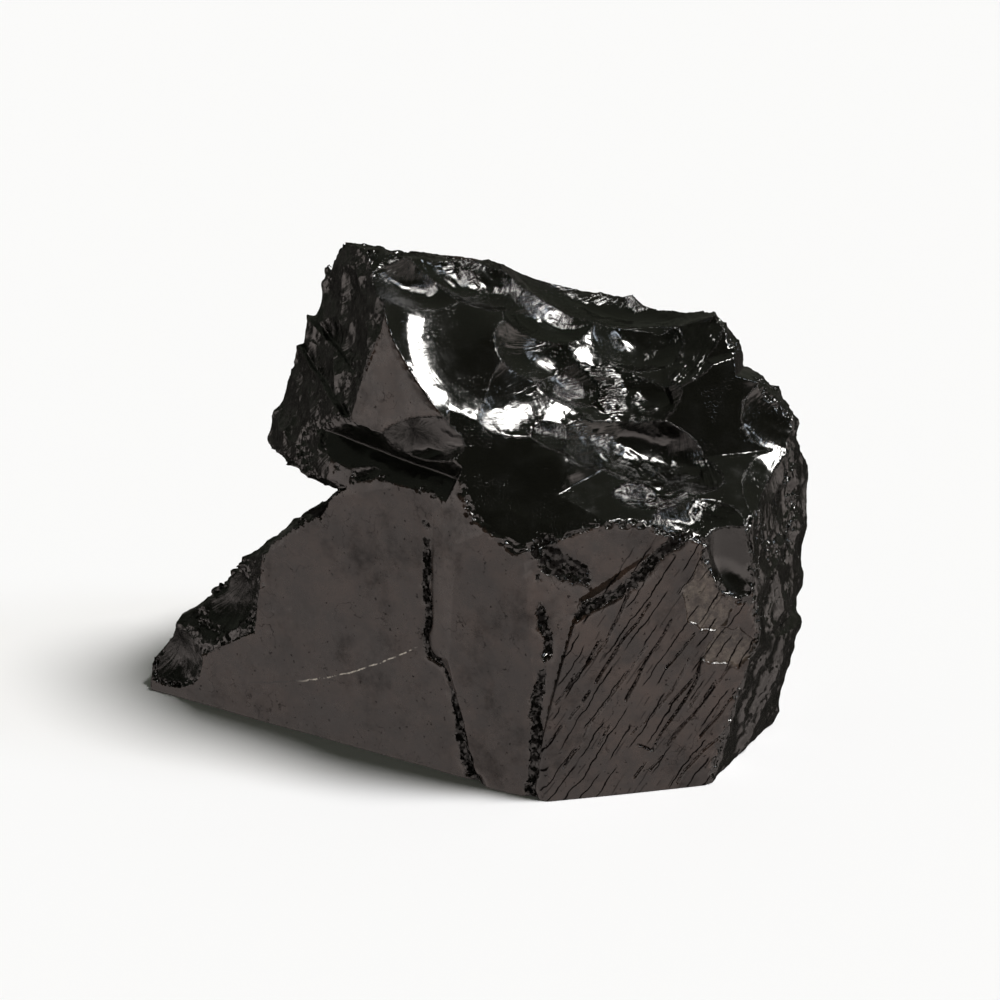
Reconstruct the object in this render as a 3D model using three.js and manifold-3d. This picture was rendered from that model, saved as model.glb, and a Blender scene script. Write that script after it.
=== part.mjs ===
// A broken lump of shungite, in millimetres, +Z up, seen from the front along +Y.
// It is made as the stone was: a rough block loses a piece at every joint face, then every struck
// scar takes a shell-shaped hollow out of what is left.
import * as THREE from "three";
import { mergeVertices } from "three/addons/utils/BufferGeometryUtils.js";
import Module from "manifold-3d";

const wasm = await Module();
wasm.setup();

// ---- driving dimensions --------------------------------------------------------------------
const ROUGH_BLOCK = 120;      // side of the block that the stone is broken from
const FACET = 1.6;            // about the size of a struck hollow's facets
const RING_STEPS = 48;        // facets around the ring-shaped bowl
const PROFILE_STEPS = 12;     // steps from the middle of that bowl to its lip
const SLAB = [3.4, 2, 1.6];   // sides of the slab that bites a chip out, as shares of its reach
const BITE = 1.25;            // how far outside the edge the slab's middle is, as a share of its reach
const SCATTER = 0.4;          // how much chips differ in size and spacing
const HEART = new THREE.Vector3(0, 0, 22);  // about the middle of the stone

// The front view, from which the struck scars on the front and top are placed.
const VIEW_AT = new THREE.Vector3(1.95, 0, 22.4);
const VIEW_DOWN = 25;         // degrees that it looks down
const VIEW_DISTANCE = 1250 / 3;
const CLOSE = 0.01;           // a sight line has met the stone when it is this close
const STRIDE = 0.8;           // how much of the way to the stone each step along it takes

// A face is [azimuth, elevation, point on it]. Azimuth 0 faces the front (-Y) and 90 faces +X;
// elevation 90 faces up. The faces named here are shared by several breaks.
const FRONT_LEFT = [-30, 2, [-1, -17.2, 0]];
const RIB_LEFT = [-50, 2, [-2.6, -16.8, 20]];
const RIB_LEFT_FOOT = [-60, -7, [-1.8, -16.6, 3.6]];
const LEFT_SLOPE = [-69, 15, [-14.2, -9, 29.2]];
const WEDGE_TOP = [-119, 47, [-14.3, -9.7, 27.4]];
const TIP_TOP = [-110, 29, [-28.8, 3, 11.3]];
const OVERHANG = [-51, -54, [-14.3, -9.7, 28.4]];
const RECESS = [8, 4, [7.5, -20, 20]];
const FLOOR = [12, 66, [10.7, -7, 36.4]];
const BLOCK_SIDE = [52, 54, [0, 0, 47.8]];
const RIGHT_SIDE = [-55, 50, [17.5, -7, 35.3]];
const LEDGE_FLOOR = [25, 68, [20.3, -13, 29.5]];

// Each break takes away what lies beyond all of its faces: one face makes a flat side of the
// stone, two or three make a ledge, a step or a notch.
const BREAKS = {
  rib: [[-27, 1, [4.9, -21, 0]]],
  frontRight: [[12.5, 2, [12, -20.6, 0]]],
  frontLeft: [FRONT_LEFT, RIB_LEFT],
  frontLeftFoot: [FRONT_LEFT, RIB_LEFT_FOOT, [-40, -60, [-3.1, -15.5, 12.4]]],
  rightFoot: [[59, -11, [26.7, -11, 0]]],
  right: [[66, 7, [27.2, -16.9, 14.2]]],
  rightBack: [[115, -8, [32.3, -2, 24.5]]],
  rightCorner: [[84, 42, [32.3, 0, 31.4]]],
  spurNotch: [[70, 42, [30.8, -6.4, 13.6]], [70, -30, [30.8, -6.4, 13.6]]],
  crest: [[140, 74, [-12.5, -1, 49.8]]],
  upperLeft: [[-34, 12, [-10.5, -5, 50]]],
  backLeft: [[-140, 8, [-28, 11, 3]]],
  back: [[178, 12, [0, 23, 4]]],
  backRight: [[142, 10, [26, 13, 6]]],
  upperBack: [[170, 48, [5, 10, 41.2]]],
  recessUpper: [RECESS, [-38, 50, [13.4, -19.5, 23.2]]],
  recessLower: [RECESS, [-85, 15, [8.3, -20.5, 16]]],
  leftSlope: [LEFT_SLOPE, WEDGE_TOP],
  leftSlopeTip: [LEFT_SLOPE, TIP_TOP],
  leftSlopeBack: [[-120, 14, [-19.5, 6.4, 37]], WEDGE_TOP],
  leftPlankLow: [[-68, 16, [-13.5, -9, 29.2]], [62, 82, [-13.5, -8.7, 34.5]], WEDGE_TOP],
  leftPlankMiddle: [[-72, 13, [-13.1, -9, 29.2]], [39, 84, [-12.5, -9, 37.8]]],
  leftPlankHigh: [[-67, 14, [-14.2, -9, 29.2]], [150, 80, [-13.3, -4.6, 41]]],
  notch: [OVERHANG, WEDGE_TOP],
  toothHigh: [[-112, 84, [-16.2, -8, 24]], [-116, 30, [-16.2, -8, 24]], OVERHANG],
  toothMiddle: [[-112, 84, [-20.7, -4.1, 19.1]], [-116, 24, [-20.7, -4.1, 19.1]], OVERHANG],
  toothLow: [[-112, 84, [-26.2, 0.7, 12.2]], [-116, 24, [-26.2, 0.7, 12.2]], OVERHANG],
  wedgeFront: [[-43, 24, [-22.3, -4.5, 9]], [-74, 5, [-22.3, -4.5, 9]]],
  leftTip: [[-95, 12, [-33.6, 2.3, 3]]],
  middle: [FLOOR, BLOCK_SIDE, RIGHT_SIDE],
  blockEnd: [BLOCK_SIDE, [-10, 40, [3.9, -15, 35.7]], [-60, 30, [17.7, 3, 41.7]]],
  blockFront: [[-5, 55, [-0.9, -6, 46.4]], [60, 10, [-7.6, -7, 46.8]]],
  shoulder: [[20, 28, [27.9, -4.5, 33.7]], LEDGE_FLOOR, [40, 20, [15.5, -8, 33.6]]],
  shoulderUpper: [[5, 42, [22, -1, 40.2]], [-40, 80, [23.4, -5, 38.5]], BLOCK_SIDE],
  seam: [[-30, 58, [-8.2, -14.6, 28.1]], [-36, -26, [-5.7, -12.6, 34.5]], [-96, 24, [-1.7, -13.5, 32.3]]],
  darkFloor: [[-8, 46, [5.5, -11, 35.2]], [13, 32, [0.4, -12, 36.2]], [62, 12, [-2.4, -13, 34]]],
  ringEnd: [[-8, 62, [9.7, -6, 38.9]], [72, 12, [6.6, -7, 38.5]]],
  step: [[80, 12, [26.1, 3, 37.9]], [110, 72, [29, -1, 35.9]]],
  backLedge: [[164, 16, [6, 19.4, 14]], [170, 72, [10, 19, 16]], [-120, 20, [-2, 20, 18]]],
  backRightStep: [[132, 14, [24, 9.6, 22]], [120, 66, [26, 8, 20]]],
  backLeftStep: [[-128, 22, [-20.5, 9, 22]], [-160, 62, [-20, 10, 18.5]], [160, 20, [-12, 16, 22]]],
};

// A hollow faces [azimuth, elevation]. Its radii are [across, along, deep], turned by `spin` degrees
// in its own plane. Its deepest point is `at`, or lies `sink` below the spot of the broken stone
// that the front view shows [right, up] of its middle.
const HOLLOWS = {
  lens: { seen: [1.6, 8.4], sink: 0.4, face: [27, 50], radii: [16, 9, 10], spin: 14 },
  underLens: { seen: [7, 6.8], sink: 0.6, face: [-10, 50], radii: [8, 6, 14], spin: 10 },
  flute: { seen: [10.4, 11], sink: 0.9, face: [-26, 52], radii: [9, 7, 18], spin: 12 },
  crescent: { seen: [6.6, 13.8], sink: 0.7, face: [-6, 54], radii: [9, 8, 16], spin: 10 },
  rimBand: { seen: [-9.5, 24.2], sink: 0.8, face: [-5, 50], radii: [16, 9, 16], spin: -8 },
  rimBowl: { seen: [-6, 21.2], sink: 0.6, face: [-8, 42], radii: [9, 5, 11], spin: 0 },
  topMiddle: { seen: [1.2, 20.8], sink: 0.8, face: [-6, 68], radii: [15, 9, 20], spin: 0 },
  upperBowl: { seen: [6.6, 18], sink: 1, face: [14, 62], radii: [10, 8, 13], spin: 0 },
  backSlope: { seen: [14, 19.4], sink: 1.2, face: [-15, 76], radii: [20, 12, 24], spin: 0 },
  sideBowl: { seen: [14.5, 15.4], sink: 0.9, face: [-2, 56], radii: [9, 7.5, 15], spin: 0 },
  shoulderHollow: { seen: [20, 16.5], sink: 0.9, face: [-30, 50], radii: [14, 16, 22], spin: 0 },
  shoulderFlank: { seen: [16.8, 10], sink: 0.6, face: [-34, 46], radii: [18, 14, 34], spin: 0 },
  shoulderFace: { seen: [27, 8.8], sink: 0.5, face: [24, 26], radii: [22, 20, 36], spin: 0 },
  ledge: { seen: [19, 4.6], sink: 0.7, face: [-12, 30], radii: [17, 7, 22], spin: -6 },
  ledgeScar: { seen: [18.4, -1.4], sink: 0.9, face: [32, 46], radii: [12, 8, 14], spin: 0 },
  fan: { seen: [16.2, 0.8], sink: 0.7, face: [15, 68], radii: [12, 6, 12], spin: 0 },
  seamFlake: { seen: [-13.6, 2.6], sink: 0.5, face: [-38, 42], radii: [3, 9, 10], spin: -52 },
  seamScoop: { seen: [-8.6, 4.8], sink: 0.5, face: [-28, 46], radii: [9, 3, 8], spin: 12 },
  lensNotch: { seen: [22.8, -5.6], sink: 1.6, face: [34, 6], radii: [2.8, 5.8, 4], spin: 14 },
  tipHollow: { seen: [-31.8, -17.2], sink: 1.1, face: [-60, 32], radii: [7, 6, 9], spin: 0 },
  rightPit: { seen: [27.8, 0], sink: 0.6, face: [64, 10], radii: [20, 24, 26], spin: 0 },
  wedgeHollow: { at: [-25, 0.4, 10.2], face: [-48, 34], radii: [8, 6, 9], spin: 20 },
  leftUpper: { at: [-15.2, 0.5, 41.6], face: [-76, 8], radii: [9, 7, 12], spin: 30 },
  leftMiddle: { at: [-16.4, 0.6, 35], face: [-74, 22], radii: [10, 6, 12], spin: 30 },
  leftLower: { at: [-16.6, -1.6, 29.4], face: [-64, 10], radii: [8, 6, 11], spin: 30 },
  backHigh: { at: [1, 12.4, 35], face: [176, 42], radii: [40, 28, 44], spin: 20 },
  backRightHigh: { at: [18.5, 10.4, 29], face: [152, 38], radii: [34, 26, 40], spin: -20 },
  backRightLow: { at: [19, 17, 13], face: [150, 8], radii: [30, 44, 44], spin: 0 },
  backLow: { at: [6, 20.8, 9], face: [172, 10], radii: [34, 24, 44], spin: 30 },
  backLeftHigh: { at: [-12, 13.2, 28], face: [-150, 34], radii: [34, 26, 38], spin: 0 },
  backLeftLow: { at: [-20, 13.4, 9], face: [-145, 10], radii: [36, 24, 40], spin: 0 },
};

// The ring-shaped bowl: a trough around a low dome, as the first ripple of a shell fracture.
const RING = { at: [2, -4.6, 41.1], face: [28, 50], radius: 9.3, lip: 12.6, dome: 3, flare: 6 };

// Angular chips knocked out of the sharp edges: from, to, count, size.
const CHIPS = [
  { from: [-29.5, 4, 10.4], to: [-15, -8.4, 26.8], count: 7, size: 1.1 },
  { from: [-19.6, 5.6, 29], to: [-14.8, 2, 48], count: 9, size: 1.2 },
  { from: [-12.6, -2, 49.6], to: [-2, 0.4, 48], count: 6, size: 1 },
  { from: [9, 3, 43.4], to: [23, 4, 41.6], count: 6, size: 1 },
  { from: [31.4, -2, 31], to: [32, -5, 12], count: 9, size: 1.2 },
  { from: [31.6, -7, 10.6], to: [26.6, -14, 1], count: 5, size: 1.1 },
  { from: [8.2, -20.6, 17], to: [20.5, -18.4, 27.4], count: 8, size: 0.8 },
  { from: [-27.4, -2.1, 3], to: [-20.7, -5.3, 19.6], count: 5, size: 0.9 },
];

// ---- turning and placing -------------------------------------------------------------------
const radians = THREE.MathUtils.degToRad;

function normalOf(azimuth, elevation) {
  const level = Math.cos(radians(elevation));
  return new THREE.Vector3(
    Math.sin(radians(azimuth)) * level,
    -Math.cos(radians(azimuth)) * level,
    Math.sin(radians(elevation)),
  );
}

// Turns +X to the level direction across the face and +Z to the face's normal.
function turnTo([azimuth, elevation], spin = 0) {
  const out = normalOf(azimuth, elevation);
  const across = new THREE.Vector3(Math.cos(radians(azimuth)), Math.sin(radians(azimuth)), 0);
  const along = new THREE.Vector3().crossVectors(out, across);
  const turn = new THREE.Matrix4().makeBasis(across, along, out);
  return turn.multiply(new THREE.Matrix4().makeRotationZ(radians(spin)));
}

function solidFrom(geometry) {
  const bare = geometry.index ? geometry.toNonIndexed() : geometry.clone();
  bare.deleteAttribute("normal");
  bare.deleteAttribute("uv");
  const merged = mergeVertices(bare, 1e-4);
  return new wasm.Manifold(
    new wasm.Mesh({
      numProp: 3,
      vertProperties: merged.attributes.position.array,
      triVerts: new Uint32Array(merged.index.array),
    }),
  );
}

// ---- placing a scar on the broken stone ----------------------------------------------------
function ringHeight(r, { radius, dome, flare }) {
  return r < radius ? dome * (1 - r / radius) ** 2 : (r - radius) ** 2 / flare;
}

// How far a point is outside the stone as the breaks and the ring-shaped bowl leave it.
function outside(point) {
  const beyondFace = ([azimuth, elevation, on]) =>
    normalOf(azimuth, elevation).dot(point.clone().sub(new THREE.Vector3(...on)));
  const breaks = Object.values(BREAKS).map((faces) => Math.min(...faces.map(beyondFace)));
  const fromRing = point.clone().sub(new THREE.Vector3(...RING.at));
  const height = fromRing.dot(normalOf(...RING.face));
  const r = Math.sqrt(Math.max(fromRing.lengthSq() - height ** 2, 0));
  return Math.max(...breaks, Math.min(height - ringHeight(r, RING), RING.lip - r));
}

function deepest({ seen: [right, up], sink, face }) {
  const down = radians(VIEW_DOWN);
  const ahead = new THREE.Vector3(0, Math.cos(down), -Math.sin(down));
  const upward = new THREE.Vector3(0, Math.sin(down), Math.cos(down));
  const eye = VIEW_AT.clone().addScaledVector(ahead, -VIEW_DISTANCE);
  const sight = VIEW_AT.clone().addScaledVector(upward, up).sub(eye);
  sight.x += right;
  sight.normalize();
  const spot = eye.addScaledVector(sight, VIEW_DISTANCE - ROUGH_BLOCK / 2);
  for (let gap = outside(spot); gap > CLOSE; gap = outside(spot)) {
    spot.addScaledVector(sight, STRIDE * gap);
  }
  return spot.addScaledVector(normalOf(...face), -sink).toArray();
}

// ---- the three kinds of break --------------------------------------------------------------
function beyond([azimuth, elevation, point]) {
  const side = 2 * ROUGH_BLOCK;
  const waste = new THREE.BoxGeometry(side, side, side).translate(0, 0, side / 2);
  waste.applyMatrix4(turnTo([azimuth, elevation]));
  waste.translate(...point);
  return solidFrom(waste);
}

function breakOff(faces) {
  return faces.map(beyond).reduce((waste, next) => waste.intersect(next));
}

function hollow(scar) {
  const { face, radii, spin } = scar;
  const at = scar.at ?? deepest(scar);
  const detail = Math.round(Math.max(...radii) / FACET);
  const shell = new THREE.IcosahedronGeometry(1, detail).scale(...radii).translate(0, 0, radii[2]);
  shell.applyMatrix4(turnTo(face, spin));
  shell.translate(...at);
  return solidFrom(shell);
}

function ringBowl(ring) {
  const { at, face, lip, dome } = ring;
  const profile = [new THREE.Vector2(0, dome)];
  for (let step = 1; step <= PROFILE_STEPS; step += 1) {
    const r = (lip * step) / PROFILE_STEPS;
    profile.push(new THREE.Vector2(r, ringHeight(r, ring)));
  }
  profile.push(new THREE.Vector2(lip, 2 * lip), new THREE.Vector2(0, 2 * lip));
  const shell = new THREE.LatheGeometry(profile, RING_STEPS).rotateX(Math.PI / 2);
  shell.applyMatrix4(turnTo(face));
  shell.translate(...at);
  return solidFrom(shell);
}

// A chip is where the corner of a tumbled slab bites into an edge; the sines scatter its size,
// place and turn.
function chipsAlong({ from, to, count, size }) {
  const start = new THREE.Vector3(...from);
  const end = new THREE.Vector3(...to);
  return Array.from({ length: count }, (_, i) => {
    const share = (i + 0.5 + SCATTER * Math.sin(7.1 * i + start.x)) / count;
    const reach = size * (1 + SCATTER * Math.sin(4.3 * i + start.y));
    const place = start.clone().lerp(end, share);
    const outward = place.clone().sub(HEART).normalize().multiplyScalar(BITE * reach);
    const slab = new THREE.BoxGeometry(...SLAB.map((side) => side * reach));
    slab.rotateX(2.4 * i).rotateY(1.3 * i + start.y).rotateZ(1.7 * i + start.z);
    return solidFrom(slab.translate(...place.add(outward)));
  });
}

// ---- the stone -----------------------------------------------------------------------------
let lump = solidFrom(
  new THREE.BoxGeometry(ROUGH_BLOCK, ROUGH_BLOCK, ROUGH_BLOCK).translate(0, 0, ROUGH_BLOCK / 2),
);
for (const faces of Object.values(BREAKS)) {
  lump = lump.subtract(breakOff(faces));
}
for (const scar of Object.values(HOLLOWS)) {
  lump = lump.subtract(hollow(scar));
}
lump = lump.subtract(ringBowl(RING));
for (const chip of CHIPS.flatMap(chipsAlong)) {
  lump = lump.subtract(chip);
}

// Only the largest piece is the stone: crumbs that came loose drop off.
const whole = lump.decompose().reduce((best, piece) => (piece.volume() > best.volume() ? piece : best));

const { vertProperties, triVerts } = whole.getMesh();
const geometry = new THREE.BufferGeometry();
geometry.setAttribute("position", new THREE.BufferAttribute(vertProperties, 3));
geometry.setIndex(new THREE.BufferAttribute(triVerts, 1));

// The origin is under the middle of the stone, on the face that it rests on.
geometry.computeBoundingBox();
const middle = geometry.boundingBox.getCenter(new THREE.Vector3());
geometry.translate(-middle.x, -middle.y, -geometry.boundingBox.min.z);

// Glassy black, with a half-metallic lustre.
const shungite = new THREE.MeshStandardMaterial({ color: 0x1c1a19, roughness: 0.25, metalness: 0.3 });

const stone = new THREE.Mesh(geometry, shungite);
stone.name = "stone";

const group = new THREE.Group();
group.add(stone);
export default group;
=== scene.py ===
import math

import bpy
import numpy as np
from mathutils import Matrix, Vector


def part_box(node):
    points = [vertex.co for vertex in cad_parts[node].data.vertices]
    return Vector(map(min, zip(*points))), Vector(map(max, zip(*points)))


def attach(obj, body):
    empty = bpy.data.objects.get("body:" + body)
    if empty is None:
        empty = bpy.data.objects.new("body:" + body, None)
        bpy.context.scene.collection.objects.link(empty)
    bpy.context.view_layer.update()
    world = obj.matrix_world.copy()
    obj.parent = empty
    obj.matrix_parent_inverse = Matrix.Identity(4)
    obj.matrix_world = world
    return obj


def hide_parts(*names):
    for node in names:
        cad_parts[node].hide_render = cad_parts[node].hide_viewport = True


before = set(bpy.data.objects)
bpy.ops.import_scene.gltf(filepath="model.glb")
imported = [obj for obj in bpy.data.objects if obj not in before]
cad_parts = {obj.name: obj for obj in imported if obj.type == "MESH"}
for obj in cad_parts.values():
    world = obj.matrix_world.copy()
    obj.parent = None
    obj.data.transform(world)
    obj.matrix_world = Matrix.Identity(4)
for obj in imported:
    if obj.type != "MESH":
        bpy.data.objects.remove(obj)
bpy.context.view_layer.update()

# ---- The view ------------------------------------------------------------------------------
# A long lens looks 25 degrees down on the front of the stone, as for a catalogue picture.
# Sizes are in millimetres, in the frame of the stone's break faces; MIDDLE is its middle there.
MM = 0.001
MIDDLE = np.array([-0.937, 1.240, 0.0])
LENS = 150.0
SENSOR = 36.0
LOOK_DOWN = 25.0
LOOK_AT = np.array([1.95, 0.0, 22.4])
VIEW_WIDTH = 100.0

distance = VIEW_WIDTH * LENS / SENSOR
down = math.radians(LOOK_DOWN)
camera = bpy.data.objects.new("camera", bpy.data.cameras.new("camera"))
camera.data.lens = LENS
camera.data.sensor_width = SENSOR
camera.data.clip_start = 0.01
camera.data.clip_end = 50.0
back_off = distance * np.array([0, -math.cos(down), math.sin(down)])
camera.location = (LOOK_AT - MIDDLE + back_off) * MM
camera.rotation_euler = (math.pi / 2 - down, 0, 0)
bpy.context.scene.collection.objects.link(camera)
bpy.context.scene.camera = camera

# ---- The stone: its broken form ------------------------------------------------------------
# Glassy shungite, a natural carbon rock with no grain. It parts along flat joint faces, tears or
# splits along rough ones, and between them chips in shell-shaped hollows as glass does.

# A face is (azimuth, elevation, point on it): azimuth 0 faces the front (-Y), 90 faces +X, and
# elevation 90 faces up. A break takes away what lies beyond all of its faces.
FRONT_LEFT = (-30, 2, (-1, -17.2, 0))
LEFT_SLOPE = (-69, 15, (-14.2, -9, 29.2))
WEDGE_TOP = (-119, 47, (-14.3, -9.7, 27.4))
OVERHANG = (-51, -54, (-14.3, -9.7, 28.4))
RECESS = (8, 4, (7.5, -20, 20))
BLOCK_SIDE = (52, 54, (0, 0, 47.8))
FRONT_RIGHT = (12.5, 2, (12, -20.6, 0))
BREAKS = {
    "joint": [
        [(-27, 1, (4.9, -21, 0))],
        [FRONT_RIGHT],
        [FRONT_LEFT, (-50, 2, (-2.6, -16.8, 20))],
        [FRONT_LEFT, (-60, -7, (-1.8, -16.6, 3.6)), (-40, -60, (-3.1, -15.5, 12.4))],
        [(-34, 12, (-10.5, -5, 50))],
        [RECESS, (-38, 50, (13.4, -19.5, 23.2))],
        [RECESS, (-85, 15, (8.3, -20.5, 16))],
        [(-140, 8, (-28, 11, 3))],
        [(178, 12, (0, 23, 4))],
        [(142, 10, (26, 13, 6))],
        [(170, 48, (5, 10, 41.2))],
    ],
    "torn": [
        [(140, 74, (-12.5, -1, 49.8))],
        [OVERHANG, WEDGE_TOP],
        [(-112, 84, (-16.2, -8, 24)), (-116, 30, (-16.2, -8, 24)), OVERHANG],
        [(-112, 84, (-20.7, -4.1, 19.1)), (-116, 24, (-20.7, -4.1, 19.1)), OVERHANG],
        [(-112, 84, (-26.2, 0.7, 12.2)), (-116, 24, (-26.2, 0.7, 12.2)), OVERHANG],
        [(164, 16, (6, 19.4, 14)), (170, 72, (10, 19, 16)), (-120, 20, (-2, 20, 18))],
        [(132, 14, (24, 9.6, 22)), (120, 66, (26, 8, 20))],
        [(-128, 22, (-20.5, 9, 22)), (-160, 62, (-20, 10, 18.5)), (160, 20, (-12, 16, 22))],
    ],
    "split": [
        [(59, -11, (26.7, -11, 0))],
        [(66, 7, (27.2, -16.9, 14.2))],
        [(115, -8, (32.3, -2, 24.5))],
        [(84, 42, (32.3, 0, 31.4))],
        [(70, 42, (30.8, -6.4, 13.6)), (70, -30, (30.8, -6.4, 13.6))],
        [LEFT_SLOPE, WEDGE_TOP],
        [LEFT_SLOPE, (-110, 29, (-28.8, 3, 11.3))],
        [(-120, 14, (-19.5, 6.4, 37)), WEDGE_TOP],
        [(-68, 16, (-13.5, -9, 29.2)), (62, 82, (-13.5, -8.7, 34.5)), WEDGE_TOP],
        [(-72, 13, (-13.1, -9, 29.2)), (39, 84, (-12.5, -9, 37.8))],
        [(-67, 14, (-14.2, -9, 29.2)), (150, 80, (-13.3, -4.6, 41))],
        [(-43, 24, (-22.3, -4.5, 9)), (-74, 5, (-22.3, -4.5, 9))],
        [(-95, 12, (-33.6, 2.3, 3))],
    ],
    "struck": [
        [(12, 66, (10.7, -7, 36.4)), BLOCK_SIDE, (-55, 50, (17.5, -7, 35.3))],
        [BLOCK_SIDE, (-10, 40, (3.9, -15, 35.7)), (-60, 30, (17.7, 3, 41.7))],
        [(-5, 55, (-0.9, -6, 46.4)), (60, 10, (-7.6, -7, 46.8))],
        [(20, 28, (27.9, -4.5, 33.7)), (25, 68, (20.3, -13, 29.5)), (40, 20, (15.5, -8, 33.6))],
        [(5, 42, (22, -1, 40.2)), (-40, 80, (23.4, -5, 38.5)), BLOCK_SIDE],
        [(-30, 58, (-8.2, -14.6, 28.1)), (-36, -26, (-5.7, -12.6, 34.5)),
         (-96, 24, (-1.7, -13.5, 32.3))],
        [(-8, 46, (5.5, -11, 35.2)), (13, 32, (0.4, -12, 36.2)), (62, 12, (-2.4, -13, 34))],
        [(-8, 62, (9.7, -6, 38.9)), (72, 12, (6.6, -7, 38.5))],
        [(80, 12, (26.1, 3, 37.9)), (110, 72, (29, -1, 35.9))],
    ],
}

# The deepest point of a scar is "at" a place, or is found under the spot of the broken stone that
# is "seen" (right, up) of the middle of the view, that deep below it. Then come the way that the
# scar faces, (azimuth, elevation), its radii across, along and deep, its spin, how deeply it is
# flaked again, the side that it was struck from, in degrees round it, and how strongly its rings
# and its rays show, 1 being usual.
SCARS = {
    "lens": (("seen", 1.6, 8.4, 0.4), (27, 50), (16, 9, 10), 14, 0.1, 150, 0.5, 0.6),
    "under_lens": (("seen", 7, 6.8, 0.6), (-10, 50), (8, 6, 14), 10, 0.3, 120, 1.5, 2),
    "flute": (("seen", 10.4, 11, 0.9), (-26, 52), (9, 7, 18), 12, 0.2, 190, 1.5, 1),
    "crescent": (("seen", 6.6, 13.8, 0.7), (-6, 54), (9, 8, 16), 10, 0.25, 60, 1.6, 1),
    "rim_band": (("seen", -9.5, 24.2, 0.8), (-5, 50), (16, 9, 16), -8, 0.4, 170, 1, 2),
    "rim_bowl": (("seen", -6, 21.2, 0.6), (-8, 42), (9, 5, 11), 0, 0.3, 120, 1.5, 1),
    "top_middle": (("seen", 1.2, 20.8, 0.8), (-6, 68), (15, 9, 20), 0, 0.3, 90, 1.5, 2),
    "upper_bowl": (("seen", 6.6, 18, 1), (14, 62), (10, 8, 13), 0, 0.2, 70, 2, 1.5),
    "back_slope": (("seen", 14, 19.4, 1.2), (-15, 76), (20, 12, 24), 0, 0.3, 90, 1.5, 2.5),
    "side_bowl": (("seen", 14.5, 15.4, 0.9), (-2, 56), (9, 7.5, 15), 0, 0.35, 60, 1.6, 2),
    "shoulder_hollow": (("seen", 20, 16.5, 0.9), (-30, 50), (14, 16, 22), 0, 0.4, 80, 0.8, 4),
    "shoulder_flank": (("seen", 16.8, 10, 0.6), (-34, 46), (18, 14, 34), 0, 0.35, 60, 0.6, 5),
    "shoulder_face": (("seen", 27, 8.8, 0.5), (24, 26), (22, 20, 36), 0, 0.15, 40, 0.6, 1),
    "ledge": (("seen", 19, 4.6, 0.7), (-12, 30), (17, 7, 22), -6, 0.5, 100, 1.2, 3),
    "ledge_scar": (("seen", 18.4, -1.4, 0.9), (32, 46), (12, 8, 14), 0, 1, 100, 1, 2),
    "fan": (("seen", 16.2, 0.8, 0.7), (15, 68), (12, 6, 12), 0, 0.8, 0, 1, 4),
    "seam_flake": (("seen", -13.6, 2.6, 0.5), (-38, 42), (3, 9, 10), -52, 0.5, 90, 1, 1.5),
    "seam_scoop": (("seen", -8.6, 4.8, 0.5), (-28, 46), (9, 3, 8), 12, 0.5, 90, 1, 2),
    "lens_notch": (("seen", 22.8, -5.6, 1.6), (34, 6), (2.8, 5.8, 4), 14, 0, 90, 0.5, 0.3),
    "tip_hollow": (("seen", -31.8, -17.2, 1.1), (-60, 32), (7, 6, 9), 0, 0.8, 120, 1, 2),
    "right_pit": (("seen", 27.8, 0, 0.6), (64, 10), (20, 24, 26), 0, 1.2, 90, 1, 2),
    "wedge_hollow": (("at", -25, 0.4, 10.2), (-48, 34), (8, 6, 9), 20, 1, 60, 1, 2),
    "left_upper": (("at", -15.2, 0.5, 41.6), (-76, 8), (9, 7, 12), 30, 0.25, 90, 0.8, 4),
    "left_middle": (("at", -16.4, 0.6, 35), (-74, 22), (10, 6, 12), 30, 0.25, 90, 0.8, 4),
    "left_lower": (("at", -16.6, -1.6, 29.4), (-64, 10), (8, 6, 11), 30, 0.25, 90, 0.8, 4),
    "back_high": (("at", 1, 12.4, 35), (176, 42), (40, 28, 44), 20, 1, 90, 1, 1),
    "back_right_high": (("at", 18.5, 10.4, 29), (152, 38), (34, 26, 40), -20, 1, 80, 1, 1),
    "back_right_low": (("at", 19, 17, 13), (150, 8), (30, 44, 44), 0, 1, 60, 1, 1),
    "back_low": (("at", 6, 20.8, 9), (172, 10), (34, 24, 44), 30, 1, 120, 1, 1),
    "back_left_high": (("at", -12, 13.2, 28), (-150, 34), (34, 26, 38), 0, 1, 50, 1, 1),
    "back_left_low": (("at", -20, 13.4, 9), (-145, 10), (36, 24, 40), 0, 1, 90, 1, 1),
}

# The ring-shaped bowl: a smooth trough round a low dome, the first ring of a great strike. Its
# height counts as RING_SLOPE of a distance.
RING_AT = (2, -4.6, 41.1)
RING_FACE = (28, 50)
RING_RADIUS = 9.3
RING_LIP = 12.6
RING_DOME = 3.0
RING_FLARE = 6.0
RING_SLOPE = 0.85


def facing(azimuth, elevation):
    """The way that a face looks, as a unit vector."""
    a, e = math.radians(azimuth), math.radians(elevation)
    level = math.cos(e)
    return np.array([math.sin(a) * level, -math.cos(a) * level, math.sin(e)], np.float32)


def plane_axes(azimuth, elevation, spin=0.0):
    """Rows: level across the face, up along it and out of it; `spin` turns the first two."""
    out = facing(azimuth, elevation)
    a, s = math.radians(azimuth), math.radians(spin)
    across = np.array([math.cos(a), math.sin(a), 0.0], np.float32)
    along = np.cross(out, across)
    turned = across * math.cos(s) + along * math.sin(s)
    return np.stack([turned, np.cross(out, turned), out]).astype(np.float32)


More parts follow.
